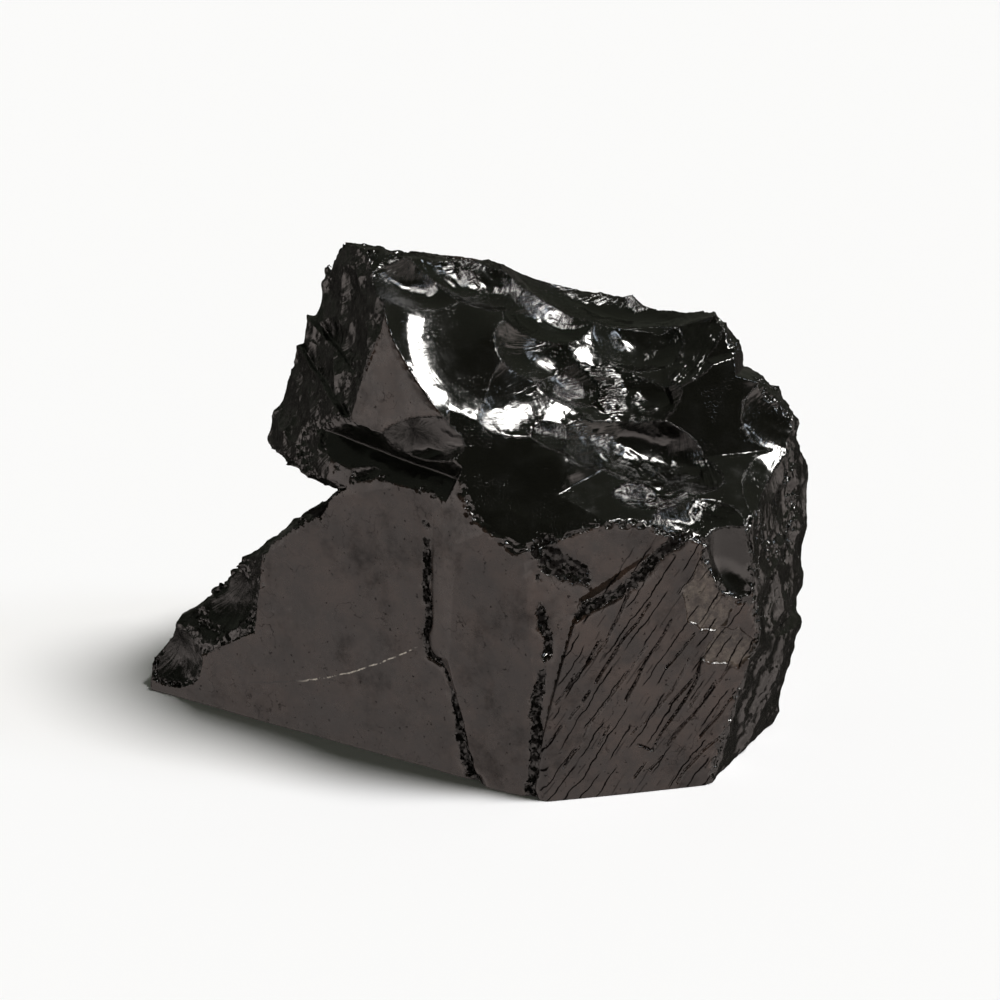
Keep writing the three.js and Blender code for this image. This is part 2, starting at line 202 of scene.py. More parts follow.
def random_in(cell, seed):
    """Three even random numbers from -1 to 1 for each whole-numbered cell."""
    key = cell @ np.array([73856093, 19349663, 83492791]) + seed * 2654435761
    key = (key ^ (key >> 15)) * 2246822519 & 0xFFFFFFFF
    key = (key ^ (key >> 13)) * 3266489917 & 0xFFFFFFFF
    key ^= key >> 16
    values = np.stack([key & 1023, key >> 10 & 1023, key >> 20 & 1023], axis=1)
    return values.astype(np.float32) / np.float32(511.5) - 1


CORNERS = [np.array([i & 1, i >> 1 & 1, i >> 2 & 1]) for i in range(8)]


def shake(points, size, seed):
    """Smooth noise that differs in x, y and z, from -1 to 1; `size` is the width of its lumps."""
    q = points / np.float32(size) + np.float32(17.3 * seed)
    cell = np.floor(q)
    t = q - cell
    cell = cell.astype(np.int64)
    t = t * t * t * (t * (t * 6 - 15) + 10)
    total = np.zeros_like(points)
    for corner in CORNERS:
        weight = np.where(corner, t, 1 - t).prod(axis=1)
        total += weight[:, None] * random_in(cell + corner, seed)
    return total


BITE_STRAY = 0.42
BITE_SQUARE = 0.8


def flaked(points, size, seed):
    """Shell-shaped bites side by side, about `size` wide: 1 in the middle of a bite and 0 on the
    sharp ridges between bites. Their middles stray by BITE_STRAY of a width, and BITE_SQUARE is
    the square of their reach, in widths."""
    q = points / np.float32(size) + np.float32(5.7 * seed)
    base = np.floor(q - 0.5).astype(np.int64)
    nearest = np.full(len(points), 9.0, np.float32)
    for corner in CORNERS:
        cell = base + corner
        centre = cell.astype(np.float32) + 0.5 + BITE_STRAY * random_in(cell, seed)
        nearest = np.minimum(nearest, ((q - centre) ** 2).sum(axis=1))
    return 1 - np.minimum(nearest / BITE_SQUARE, 1)


def normals_and_reaches(faces):
    normals = np.stack([facing(azimuth, elevation) for azimuth, elevation, _ in faces])
    reaches = np.array([n @ np.array(face[2], np.float32) for n, face in zip(normals, faces)])
    return normals, reaches.astype(np.float32)


compiled_breaks = {kind: [normals_and_reaches(faces) for faces in groups]
                   for kind, groups in BREAKS.items()}
ring_axes = plane_axes(*RING_FACE)


def ring_form(local):
    """How far points of the ring-shaped bowl's own frame are outside it, and off its axis."""
    far = np.hypot(local[:, 0], local[:, 1])
    dome = RING_DOME * (1 - np.clip(far / RING_RADIUS, 0, 1)) ** 2
    flare = np.maximum(far - RING_RADIUS, 0) ** 2 / RING_FLARE
    return np.minimum((local[:, 2] - dome - flare) * RING_SLOPE, RING_LIP - far), far


# A sight line runs from the camera through a spot of the view. It is followed by STRIDE of the gap
# that is left at a time, until it is CLOSE to the broken stone.
AHEAD = np.array([0, math.cos(down), -math.sin(down)])
UPWARD = np.array([0, math.sin(down), math.cos(down)])
CLOSE = 0.01
STRIDE = 0.8


def sight_line(right, up):
    """Where the camera is, and the way from it to a point of the view."""
    eye = LOOK_AT - distance * AHEAD
    way = LOOK_AT + right * np.array([1, 0, 0]) + up * UPWARD - eye
    return eye, way / np.linalg.norm(way)


def deepest(how, *numbers, face):
    """The deepest point of a scar, which is given as "at" a place or as "seen" from the camera."""
    if how == "at":
        return np.array(numbers, np.float32)
    right, up, sink = numbers
    eye, way = sight_line(right, up)
    spot = eye + (distance - VIEW_WIDTH) * way
    gap = VIEW_WIDTH
    while gap > CLOSE:
        gap = ring_form((spot - RING_AT)[None] @ ring_axes.T)[0][0]
        for groups in compiled_breaks.values():
            for normals, reaches in groups:
                gap = max(gap, (spot @ normals.T - reaches).min())
        spot = spot + STRIDE * gap * way
    return (spot - sink * facing(*face)).astype(np.float32)


compiled_scars = []
for given, face, radii, spin, flakes, *_ in SCARS.values():
    axes = plane_axes(*face, spin)
    centre = deepest(*given, face=face) + axes[2] * radii[2]
    compiled_scars.append((axes, centre, np.array(radii, np.float32), flakes))

# ---- The stone: its relief -----------------------------------------------------------------
# What a break leaves on its face: joint faces are nearly flat, torn and split ones are small ledges
# and bites, and struck scars are smooth or flaked again. Edges crumble a little, and the front has
# grooves, shrinkage cracks and chipped patches.

# ROUGH is how far the broad and the middling lumps move a face, FLAKED the width and depth of its
# bites, whose mean height is MEAN_BITE of the depth. STRUCK_FLAKES is how deeply a struck break
# that is no scar is flaked. GROOVE is the kind that grooves give to the faces they cross.
BROAD_LUMP = 9.0
MIDDLING_LUMP = 2.6
FINE_LUMP = 0.9
ROUGH = {"joint": (0.10, 0.02), "torn": (0.5, 0.25), "split": (0.5, 0.10), "struck": (0.22, 0.05)}
FLAKED = {"torn": ((3.6, 0.95), (1.5, 0.22)), "split": ((4.4, 0.66), (1.9, 0.24)),
          "struck": ((4.2, 0.42), (1.7, 0.17))}
MEAN_BITE = 0.55
STRUCK_FLAKES = 0.3
KINDS = ["joint", "torn", "split", "struck", "groove"]
JOINT, TORN, STRUCK, GROOVE = [KINDS.index(kind) for kind in ("joint", "torn", "struck", "groove")]

# The relief is worked out within REACH of the broken form. Edges crumble where the two highest
# faces come within EDGE_REACH of each other, most where they are of two kinds and are off the
# ring-shaped bowl, and a bite over TORN_BITE counts as torn.
REACH = 1.6
EDGE_REACH = 0.9
EDGE_WIDTH = 0.4
EDGE_WEAR = 0.04
CRUMB_WIDTH = 0.8
CRUMB_DEPTH = 0.5
TOUGH_EDGE = 0.12
TORN_BITE = 0.2
RING_MARGIN = 1.5

# Grooves where joints meet, as points on the surface, with half width and depth. They lie before
# GROOVES_BEFORE and below GROOVES_BELOW, and give their kind where they are over GROOVE_SHARE deep.
GROOVES = [
    ([(-5.3, -13.7, 26), (-5.2, -14.1, 16.1), (-5.2, -14.3, 12.9), (-3.1, -15.5, 11.8),
      (-2.5, -16, 9.3)], 0.42, 0.5),
    ([(-2.5, -16, 9.3), (-1.8, -16.6, 3.6), (0, -17.8, 0)], 0.75, 0.8),
    ([(6.2, -20.4, 24.5), (6.3, -20.7, 16.2), (5.4, -20.6, 6.3), (5.1, -20.9, 0)], 0.55, 0.6),
    ([(6.4, -19.8, 26.6), (7.2, -19.9, 24.8), (9.4, -19.6, 23.6)], 1.2, 0.4),
    ([(9.1, -19.9, 19.8), (11.5, -20, 21.1), (15.4, -19, 23.3), (17.7, -18.4, 25.7),
      (20.6, -17.6, 27.2)], 0.55, 0.4),
]
GROOVES_BEFORE = -9.0
GROOVES_BELOW = 30.0
GROOVE_SHARE = 0.3

# Thin flakes have come off the right front face, leaving paler, duller patches: middle and radius.
# Their pale colour, given below, is partly their own duller tone and partly a painted reflection of
# the pale table.
CHIPPED = [((22.6, -17, 19.4), 2.9), ((24.4, -16.8, 14.6), 2.3), ((22.2, -18, 22.6), 1.3)]
CHIP_DEPTH = 0.3
CHIP_RIM = 0.25

# The right front face is crossed by shrinkage cracks that slant down to the left, each a line of
# points that the view shows (right, up) of its middle.
CRACKS = [
    [(12.9, -9), (10.8, -14), (6.6, -19)],
    [(15, -10.3), (13.4, -12.7), (11.2, -15.7), (9.7, -18)],
    [(14.8, -14.5), (12.5, -17.7), (10.7, -20), (9, -22.2), (7.8, -24.8)],
    [(17.1, -12), (15.7, -14.5), (14, -17.5), (12.5, -20)],
    [(19.3, -13.5), (18, -15.2), (16.6, -16.8)],
    [(19, -15.8), (17.2, -19), (15.5, -21), (13.2, -23.5)],
    [(20.3, -16), (19.8, -17.5), (18.5, -20), (17.5, -21.5), (15.2, -25), (13.8, -24.5)],
    [(19.3, -21.5), (18, -23), (16.8, -24.5)],
    [(22.5, -23.5), (20.5, -25), (18.5, -27), (17.8, -28.3)],
    [(9, -19), (8.3, -20)],
    [(8, -20.5), (7, -21.8)],
    [(7.5, -25), (6.5, -26.8)],
    [(16.2, -25.5), (15, -26.8)],
    [(20, -19), (19, -20.6)],
    [(21.5, -18), (20.4, -19.7)],
    [(20.5, -16), (19, -18.2), (17, -20.5)],
    [(23, -16.5), (20, -20.5), (17.6, -23.8)],
    [(24.5, -18), (22.2, -21.2), (20, -23.8)],
    [(7.5, -17.5), (6.5, -19), (5.5, -20.5)],
    [(6.2, -22.5), (5, -24.2), (4, -25.7)],
    [(10, -14), (8.8, -16.2)],
    [(22.2, -20), (21.2, -21.8)],
    [(11, -22.5), (9.8, -24.8)],
    [(14.5, -26), (13.6, -27.5)],
]
CRACK_WIDTH = 0.10
CRACK_DEPTH = 0.30
CRACK_WANDER = 0.22
crack_axes = plane_axes(*FRONT_RIGHT[:2])


def on_right_face(right, up):
    """Where a sight line meets the right front face, in mm across and up it from its foot."""
    eye, way = sight_line(right, up)
    from_foot = eye - FRONT_RIGHT[2]
    hit = from_foot - way * (from_foot @ crack_axes[2]) / (way @ crack_axes[2])
    return hit @ crack_axes[:2].T


crack_lines = [[on_right_face(*point) for point in line] for line in CRACKS]


def line_distance(points, line):
    """Distance from each point to a line through the given points, in two or three dimensions."""
    nearest = np.full(len(points), 1e3, np.float32)
    for start, end in zip(line, line[1:]):
        start, end = np.array(start, np.float32), np.array(end, np.float32)
        along = end - start
        share = np.clip(((points - start) @ along) / (along @ along), 0, 1)
        gap = np.linalg.norm(points - start - share[:, None] * along, axis=1)
        nearest = np.minimum(nearest, gap)
    return nearest


def crack_depth(points, wander):
    """How far the cracks cut into the right front face."""
    local = (points - np.array(FRONT_RIGHT[2], np.float32)) @ crack_axes.T
    flat = local[:, :2] + CRACK_WANDER * wander[:, :2]
    width = CRACK_WIDTH * (1 + 0.45 * wander[:, 2])
    cut = np.zeros(len(points), np.float32)
    for number, line in enumerate(crack_lines):
        strength = 0.75 + 0.25 * math.sin(2.3 * number)
        cut = np.maximum(cut, strength * np.exp(-(line_distance(flat, line) / width) ** 2))
    return CRACK_DEPTH * cut


def stone_form(points):
    """Signed distance to the surface in mm, negative inside, with the kind of face that is nearest,
    the number of the scar that it is part of, or -1, and how deep cracks and chips cut there."""
    broad = shake(points, BROAD_LUMP, 1)
    middling = shake(points, MIDDLING_LUMP, 2)
    first = np.full(len(points), -1e3, np.float32)
    second = first.copy()
    kind = np.zeros(len(points), np.int8)
    beside = kind.copy()
    owner = np.full(len(points), -1, np.int8)

    def add(value, number, scar=-1):
        nonlocal first, second
        wins = value > first
        comes_second = ~wins & (value > second)
        beside[wins] = kind[wins]
        beside[comes_second] = number
        kind[wins] = number
        owner[wins] = scar
        second = np.maximum(second, np.minimum(first, value))
        first = np.maximum(first, value)

    for name, groups in compiled_breaks.items():
        number = KINDS.index(name)
        a, b = ROUGH[name]
        moved = points + a * broad + b * middling
        for normals, reaches in groups:
            add((moved @ normals.T - reaches).min(axis=1), number)

    flaking = np.full(len(points), STRUCK_FLAKES, np.float32)
    a, b = ROUGH["struck"]
    moved = points + a * broad + b * middling
    for number, (axes, centre, radii, smooth) in enumerate(compiled_scars):
        local = (moved - centre) @ axes.T
        scaled = np.sqrt(((local / radii) ** 2).sum(axis=1))
        slope = np.sqrt(((local / radii ** 2) ** 2).sum(axis=1)) + 1e-6
        value = -scaled * (scaled - 1) / slope
        flaking = np.where(value > first, np.float32(smooth), flaking)
        add(value, STRUCK, number)

    local = (points + 0.12 * broad - np.array(RING_AT, np.float32)) @ ring_axes.T
    value, far = ring_form(local)
    flaking = np.where(value > first, np.float32(0), flaking)
    add(value, STRUCK)

    form = first.copy()
    for name, bites in FLAKED.items():
        number = KINDS.index(name)
        near = np.flatnonzero((kind == number) & (np.abs(first) < REACH))
        strength = flaking[near] if name == "struck" else 1
        for level, (size, depth) in enumerate(bites):
            bitten = flaked(points[near], size, 4 * number + level) - MEAN_BITE
            form[near] += strength * depth * bitten

    near = np.flatnonzero((np.abs(first) < REACH) & (first - second < EDGE_REACH))
    edge = np.exp(-((first[near] - second[near]) / EDGE_WIDTH) ** 2)
    two_kinds = (kind[near] != beside[near]) & (far[near] > RING_LIP + RING_MARGIN)
    brittle = np.where(two_kinds, 1.0, TOUGH_EDGE).astype(np.float32)
    crumbs = flaked(points[near], CRUMB_WIDTH, 3) + 0.4 * middling[near, 0] - 0.4
    bite = brittle * edge * np.clip(crumbs, 0, 1)
    form[near] += EDGE_WEAR * edge + CRUMB_DEPTH * bite
    kind[near] = np.where(bite > TORN_BITE, np.int8(TORN), kind[near])

    front_side = (points[:, 1] < GROOVES_BEFORE) & (points[:, 2] < GROOVES_BELOW)
    near = np.flatnonzero((np.abs(first) < REACH) & front_side)
    fine = shake(points[near], FINE_LUMP, 3)
    wavy = points[near] + 0.45 * middling[near] + 0.18 * fine
    grooved = np.zeros(len(near), np.float32)
    for line, half_width, depth in GROOVES:
        groove = np.exp(-(line_distance(wavy, line) / half_width) ** 2)
        form[near] += groove * depth * (1 + 0.3 * fine[:, 0])
        grooved = np.maximum(grooved, groove)
    kind[near] = np.where(grooved > GROOVE_SHARE, np.int8(GROOVE), kind[near])
    front = near[kind[near] == JOINT]
    cracks = np.zeros(len(points), np.float32)
    cracks[front] = crack_depth(points[front], middling[front])
    chips = np.zeros(len(points), np.float32)
    for middle, radius in CHIPPED:
        gap = np.linalg.norm(wavy - np.array(middle, np.float32), axis=1) - radius
        gap += 1.3 * middling[near, 1] + 0.5 * fine[:, 2]
        chips[near] = np.maximum(chips[near], np.clip(-gap / CHIP_RIM, 0, 1))
    form = form + CHIP_DEPTH * chips * (kind == JOINT)

    return np.maximum(form + cracks, -points[:, 2]), kind, owner, cracks, chips


def in_parts(points, size=200000):
    """stone_form over many points, a part at a time."""
    found = zip(*[stone_form(points[i:i + size]) for i in range(0, len(points), size)])
    return [np.concatenate(part) for part in found]


# ---- The stone: its mesh -------------------------------------------------------------------
# The form is sampled on a fine grid near the surface only, wrapped in a net of quads, pulled on
# to the true surface, and thinned where it is flat.
GRID = 0.21
BLOCK = 5
MARGIN = 2.0
HALF_DIAGONAL = 0.87
DEEPEST_RELIEF = 0.8
MOST_TRIANGLES = 190000

box_low, box_high = [np.array(c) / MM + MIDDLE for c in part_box("stone")]
low = box_low - MARGIN
blocks = np.ceil((box_high + MARGIN - low) / (GRID * BLOCK)).astype(int)
middles = [(np.arange(n) + 0.5) * GRID * BLOCK for n in blocks]
centres = np.stack(np.meshgrid(*middles, indexing="ij"), -1)
block_form = in_parts((centres.reshape(-1, 3) + low).astype(np.float32))[0]
block_form = block_form.reshape(blocks)
block_reach = GRID * BLOCK * HALF_DIAGONAL + DEEPEST_RELIEF


def spread(blocks_array):
    for axis in range(3):
        blocks_array = np.repeat(blocks_array, BLOCK, axis=axis)
    return blocks_array


form = spread(np.sign(block_form).astype(np.float32))
near_surface = np.argwhere(spread(np.abs(block_form) < block_reach))
values = in_parts((near_surface * GRID + low).astype(np.float32))[0]
form[tuple(near_surface.T)] = values
inside = form < 0

crossings = []
for axis in range(3):
    here = [slice(None)] * 3
    there = [slice(None)] * 3
    here[axis], there[axis] = slice(None, -1), slice(1, None)
    crossings.append(np.argwhere(inside[tuple(here)] != inside[tuple(there)]))
count = np.zeros(np.array(form.shape) - 1, np.int8)
for corner in CORNERS:
    count += inside[tuple(slice(start, start + n) for start, n in zip(corner, count.shape))]
cells = (count > 0) & (count < len(CORNERS))
active = np.argwhere(cells)
number_of = np.full(cells.shape, -1, np.int32)
number_of[tuple(active.T)] = np.arange(len(active))

total = np.zeros((len(active), 3))
hits = np.zeros(len(active))
for corner in CORNERS:
    for axis in range(3):
        if corner[axis]:
            continue
        near_end = form[tuple((active + corner).T)]
        far_end = form[tuple((active + corner + np.eye(3, dtype=int)[axis]).T)]
        crossed = (near_end < 0) != (far_end < 0)
        share = np.where(crossed, near_end / np.where(crossed, near_end - far_end, 1), 0)
        point = corner + share[:, None] * np.eye(3)[axis]
        total += point * crossed[:, None]
        hits += crossed
net = low + (active + total / hits[:, None]) * GRID

quads = []
for axis, edges in enumerate(crossings):
    u, v = (axis + 1) % 3, (axis + 2) % 3
    step_u, step_v = np.eye(3, dtype=int)[u], np.eye(3, dtype=int)[v]
    steps = (0 * step_u, step_u, step_u + step_v, step_v)
    quad = np.stack([number_of[tuple((edges - step).T)] for step in steps], 1)
    outward = inside[tuple(edges.T)]
    quad[~outward] = quad[~outward][:, ::-1]
    quads.append(quad)
quads = np.concatenate(quads)


def largest_piece(count, faces):
    """Marks the points of the largest piece of a mesh, so that loose crumbs can be dropped."""
    label = np.arange(count)
    pairs = np.concatenate([faces[:, :2], faces[:, 1:3], faces[:, 2:]])
    joined = False
    while not joined:
        a, b = label[pairs[:, 0]], label[pairs[:, 1]]
        joined = bool((a == b).all())
        np.minimum.at(label, np.maximum(a, b), np.minimum(a, b))
        while (label[label] != label).any():
            label = label[label]
    return label == np.bincount(label).argmax()


kept = largest_piece(len(net), quads)
quads = (np.cumsum(kept) - 1)[quads[kept[quads[:, 0]]]]
net = net[kept]

# The slope is read from four points round each one, and no point is pulled far or on a weak slope.
PROBE = 0.06
LEAST_SLOPE = 0.25
TETRAHEDRON = np.array([[1, 1, 1], [1, -1, -1], [-1, 1, -1], [-1, -1, 1]], np.float32)


def height_and_slope(points):
    probes = [(points + PROBE * corner).astype(np.float32) for corner in TETRAHEDRON]
    samples = np.stack([in_parts(probe)[0] for probe in probes], 1)
    return samples.mean(axis=1), samples @ TETRAHEDRON / (4 * PROBE)


height, slope = height_and_slope(net)
pull = -(height / np.maximum((slope ** 2).sum(axis=1), LEAST_SLOPE))[:, None] * slope
pull *= np.minimum(1, 0.5 * GRID / np.maximum(np.linalg.norm(pull, axis=1), 1e-6))[:, None]
net = net + pull


def mesh_from(name, points, faces):
    mesh = bpy.data.meshes.new(name)
    mesh.vertices.add(len(points))
    mesh.vertices.foreach_set("co", points.astype(np.float32).ravel())
    mesh.loops.add(faces.size)
    mesh.loops.foreach_set("vertex_index", faces.astype(np.int32).ravel())
    mesh.polygons.add(len(faces))
    starts = np.arange(0, faces.size, faces.shape[1], dtype=np.int32)
    mesh.polygons.foreach_set("loop_start", starts)
    mesh.update(calc_edges=True)
    mesh.validate()
    return mesh


lump = mesh_from("shungite_lump", (net - MIDDLE) * MM, quads)
stone = bpy.data.objects.new("shungite_lump", lump)
bpy.context.scene.collection.objects.link(stone)
thin = stone.modifiers.new("thin where flat", "DECIMATE")
thin.ratio = min(1.0, MOST_TRIANGLES / (2 * len(quads)))
bpy.context.view_layer.objects.active = stone
bpy.ops.object.modifier_apply(modifier=thin.name)

points = np.empty(3 * len(stone.data.vertices), np.float32)
stone.data.vertices.foreach_get("co", points)
points = points.reshape(-1, 3) / MM + MIDDLE
_, slope = height_and_slope(points)
_, kind, owner, cracks, chips = in_parts(points.astype(np.float32))
stone.data.shade_smooth()
length = np.maximum(np.linalg.norm(slope, axis=1), 1e-6)[:, None]
stone.data.normals_split_custom_set_from_vertices((slope / length).tolist())

# Each point of a scar knows how far it lies from the blow that made the scar, for its fine rings
# and rays; points of no scar take the middle of the ring-shaped bowl as the blow. RINGS, RAYS and
# GLITTER are how strongly these show on each of KINDS outside the scars, BLOW_AT how far out on a
# scar the blow fell, and FIRST_SEED and SEED_STEP set the rings and rays of the scars apart.
RINGS = [0.0, 0.0, 0.6, 0.7, 0.0]
RAYS = [0.0, 0.0, 1.6, 0.35, 0.0]
GLITTER = [0.0, 1.0, 0.4, 0.05, 2.0]
BLOW_AT = 0.6
FIRST_SEED = 10
SEED_STEP = 3
blow = (points - np.array(RING_AT)) @ ring_axes.T
blow[:, 2] = 0
ripple = np.array(RINGS)[kind]
hackle = np.array(RAYS)[kind]
for number, scar in enumerate(SCARS.values()):
    mine = owner == number
    axes, centre, radii, _ = compiled_scars[number]
    struck_from, rings_here, rays_here = scar[5:]
    side = np.array([math.cos(math.radians(struck_from)), math.sin(math.radians(struck_from))])
    blow[mine, :2] = (points[mine] - centre) @ axes[:2].T - BLOW_AT * radii[:2] * side
    blow[mine, 2] = FIRST_SEED + SEED_STEP * number
    ripple[mine] = rings_here * (kind[mine] == STRUCK)
    hackle[mine] = rays_here * (kind[mine] == STRUCK)
point_values = {"joint": kind == JOINT, "glitter": np.array(GLITTER)[kind], "ripple": ripple,
                "hackle": hackle, "cracks": cracks / CRACK_DEPTH, "chips": chips}
for name, values in point_values.items():
    attribute = stone.data.attributes.new(name, "FLOAT", "POINT")
    attribute.data.foreach_set("value", values.astype(np.float32))
attribute = stone.data.attributes.new("blow", "FLOAT_VECTOR", "POINT")
attribute.data.foreach_set("vector", blow.astype(np.float32).ravel())

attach(stone, "root")
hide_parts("stone")


# ---- Glassy shungite -----------------------------------------------------------------------
# Nearly black carbon that takes a polish of its own: struck scars shine like glass, joint faces
# are satin from a thin film of dust and fine pitting, and torn faces glitter.
def linear(hex_colour):
    """An sRGB hex colour as linear red, green and blue, and a full alpha."""
    channels = [int(hex_colour[i:i + 2], 16) / 255 for i in (1, 3, 5)]
    channels = [c / 12.92 if c <= 0.04045 else ((c + 0.055) / 1.055) ** 2.4 for c in channels]
    return (*channels, 1.0)


def add_node(kind, inputs=(), output=0, **settings):
    """Adds a node to `tree` with its settings, and gives back one of its outputs. Its inputs are
    values or outputs of other nodes, in the order of its sockets, or by their names or numbers."""
    node = tree.nodes.new("ShaderNode" + kind)
    for key, value in settings.items():
        setattr(node, key, value)
    for key, value in inputs.items() if isinstance(inputs, dict) else enumerate(inputs):
        if isinstance(value, bpy.types.NodeSocket):
            tree.links.new(value, node.inputs[key])
        else:
            node.inputs[key].default_value = value
    return node.outputs[output] if len(node.outputs) else node


shungite = bpy.data.materials.new("glassy shungite")
shungite.use_nodes = True
tree = shungite.node_tree
tree.nodes.clear()
place = add_node("TexCoord", output="Object")
joint = add_node("Attribute", output="Fac", attribute_name="joint")
glitter = add_node("Attribute", output="Fac", attribute_name="glitter")
ripple = add_node("Attribute", output="Fac", attribute_name="ripple")
hackle = add_node("Attribute", output="Fac", attribute_name="hackle")
blow = add_node("Attribute", output="Vector", attribute_name="blow")
cracked = add_node("Attribute", output="Fac", attribute_name="cracks")
chipped = add_node("Attribute", output="Fac", attribute_name="chips")
SMOOTH = {"interpolation_type": "SMOOTHSTEP"}


def blotches(size, detail, low, high, least=0.0, most=1.0, roughness=0.5):
    """Soft-edged patches about `size` mm wide: `least` where a noise is under `low`, and `most`
    where it is over `high`."""
    noise = add_node("TexNoise", {"Vector": place, "Scale": 1 / (size * MM), "Detail": detail,
                                  "Roughness": roughness})
    return add_node("MapRange", (noise, low, high, least, most), **SMOOTH)


def reach_along(foot, axis):
    """How far the surface lies from `foot` along `axis`, in mm."""
    foot = tuple((np.array(foot) - MIDDLE) * MM)
    from_foot = add_node("VectorMath", (place, foot), operation="SUBTRACT")
    reach = add_node("VectorMath", (from_foot, tuple(axis)), "Value", operation="DOT_PRODUCT")
    return add_node("Math", (reach, MM), operation="DIVIDE")


# Rings of the blows, 0.7 mm apart and under 0.03 mm high, and rays across them, in patches. Real
# ones are finer, and these are as coarse as they need to be to show.
RIPPLES_PER_MM = 1.5
RIPPLE_HEIGHT = 0.030
RAY_HEIGHT = 0.14
flat_blow = add_node("VectorMath", (blow, (1, 1, 0)), operation="MULTIPLY")
from_blow = add_node("VectorMath", (flat_blow,), "Value", operation="LENGTH")
way = add_node("VectorMath", (flat_blow,), operation="NORMALIZE")
seed = add_node("SeparateXYZ", (blow,), "Z")
ring_count = add_node("Math", (from_blow, RIPPLES_PER_MM), operation="MULTIPLY")
ring_place = add_node("CombineXYZ", {"X": ring_count, "Z": seed})
waver = add_node("VectorMath", (way, (1.2, 1.2, 0)), operation="MULTIPLY")
ring_place = add_node("VectorMath", (ring_place, waver), operation="ADD")
rings = add_node("TexNoise", {"Vector": ring_place, "Scale": 1.0, "Detail": 2.0})
ring_height = add_node("Math", (rings, ripple), operation="MULTIPLY")
ring_height = add_node("Math", (ring_height, RIPPLE_HEIGHT * MM), operation="MULTIPLY")

ray_length = add_node("Math", (from_blow, 0.16, 0.5), operation="MULTIPLY_ADD")
ray_place = add_node("CombineXYZ", {"Z": ray_length})
spokes = add_node("VectorMath", (way, (16, 16, 0)), operation="MULTIPLY")
ray_place = add_node("VectorMath", (ray_place, spokes), operation="ADD")
ray_seed = add_node("CombineXYZ", {"X": seed, "Z": seed})
ray_place = add_node("VectorMath", (ray_place, ray_seed), operation="ADD")
rays = add_node("TexNoise", {"Vector": ray_place, "Scale": 1.0, "Detail": 4.0, "Roughness": 0.6})
patches = blotches(3.5, 2.0, 0.36, 0.58)
ray_strength = add_node("Math", (hackle, patches), operation="MULTIPLY")
ray_height = add_node("Math", (rays, ray_strength), operation="MULTIPLY")
ray_height = add_node("Math", (ray_height, RAY_HEIGHT * MM), operation="MULTIPLY")

# Torn faces are in places, and grooves all over, a crust of facets that each tilt their own way.
CRUST = 0.35
crust = add_node("TexVoronoi", {"Vector": place, "Scale": 1 / (CRUST * MM)}).node
tilt = add_node("VectorMath", (crust.outputs["Color"], (0.5, 0.5, 0.5)), operation="SUBTRACT")
from_cell = add_node("VectorMath", (place, crust.outputs["Position"]), operation="SUBTRACT")
crusted = blotches(3.2, 3.0, 0.49, 0.60, 0.03, 0.85)
crusted = add_node("Math", (glitter, crusted), operation="MULTIPLY")
groove_crust = add_node("MapRange", (glitter, 1.0, 2.0, 0.0, 1.1), **SMOOTH)
crusted = add_node("Math", (crusted, groove_crust), operation="MAXIMUM")
facets = add_node("VectorMath", (tilt, from_cell), "Value", operation="DOT_PRODUCT")
crust_height = add_node("Math", (facets, crusted), operation="MULTIPLY")

# Joint faces have fine pitting, low waves drawn out upwards, and a few deeper pits 0.2 mm wide.
PITTING = 0.22
PITTING_HEIGHT = 0.006
WAVE = 1.6
WAVE_HEIGHT = 0.010
PIT_SPACING = 1.5
PIT_DEPTH = 0.04
pitting = add_node("TexNoise", {"Vector": place, "Scale": 1 / (PITTING * MM), "Detail": 3.0,
                                "Roughness": 0.7})
pitting = add_node("Math", (pitting, PITTING_HEIGHT * MM), operation="MULTIPLY")
drawn_up = add_node("VectorMath", (place, (1, 1, 0.35)), operation="MULTIPLY")
waves = add_node("TexNoise", {"Vector": drawn_up, "Scale": 1 / (WAVE * MM), "Detail": 2.0,
                              "Roughness": 0.5})
waves = add_node("Math", (waves, WAVE_HEIGHT * MM), operation="MULTIPLY")
pits = add_node("TexVoronoi", {"Vector": place, "Scale": 1 / (PIT_SPACING * MM)}).node
pit = add_node("MapRange", (pits.outputs["Distance"], 0.10, 0.03), **SMOOTH)
pit_number = add_node("SeparateXYZ", (pits.outputs["Color"],), "X")
chosen = add_node("Math", (pit_number, 0.72), operation="GREATER_THAN")
pit = add_node("Math", (pit, chosen), operation="MULTIPLY")
pit_depth = add_node("Math", (pit, PIT_DEPTH * MM), operation="MULTIPLY")
joint_height = add_node("Math", (pitting, waves), operation="ADD")
joint_height = add_node("Math", (joint_height, pit_depth), operation="SUBTRACT")
joint_height = add_node("Math", (joint_height, joint), operation="MULTIPLY")

scar_height = add_node("Math", (ring_height, ray_height), operation="ADD")
face_height = add_node("Math", (crust_height, joint_height), operation="ADD")
relief = add_node("Math", (scar_height, face_height), operation="ADD")
bump = add_node("Bump", {"Height": relief, "Strength": 1.0, "Distance": 1.0})
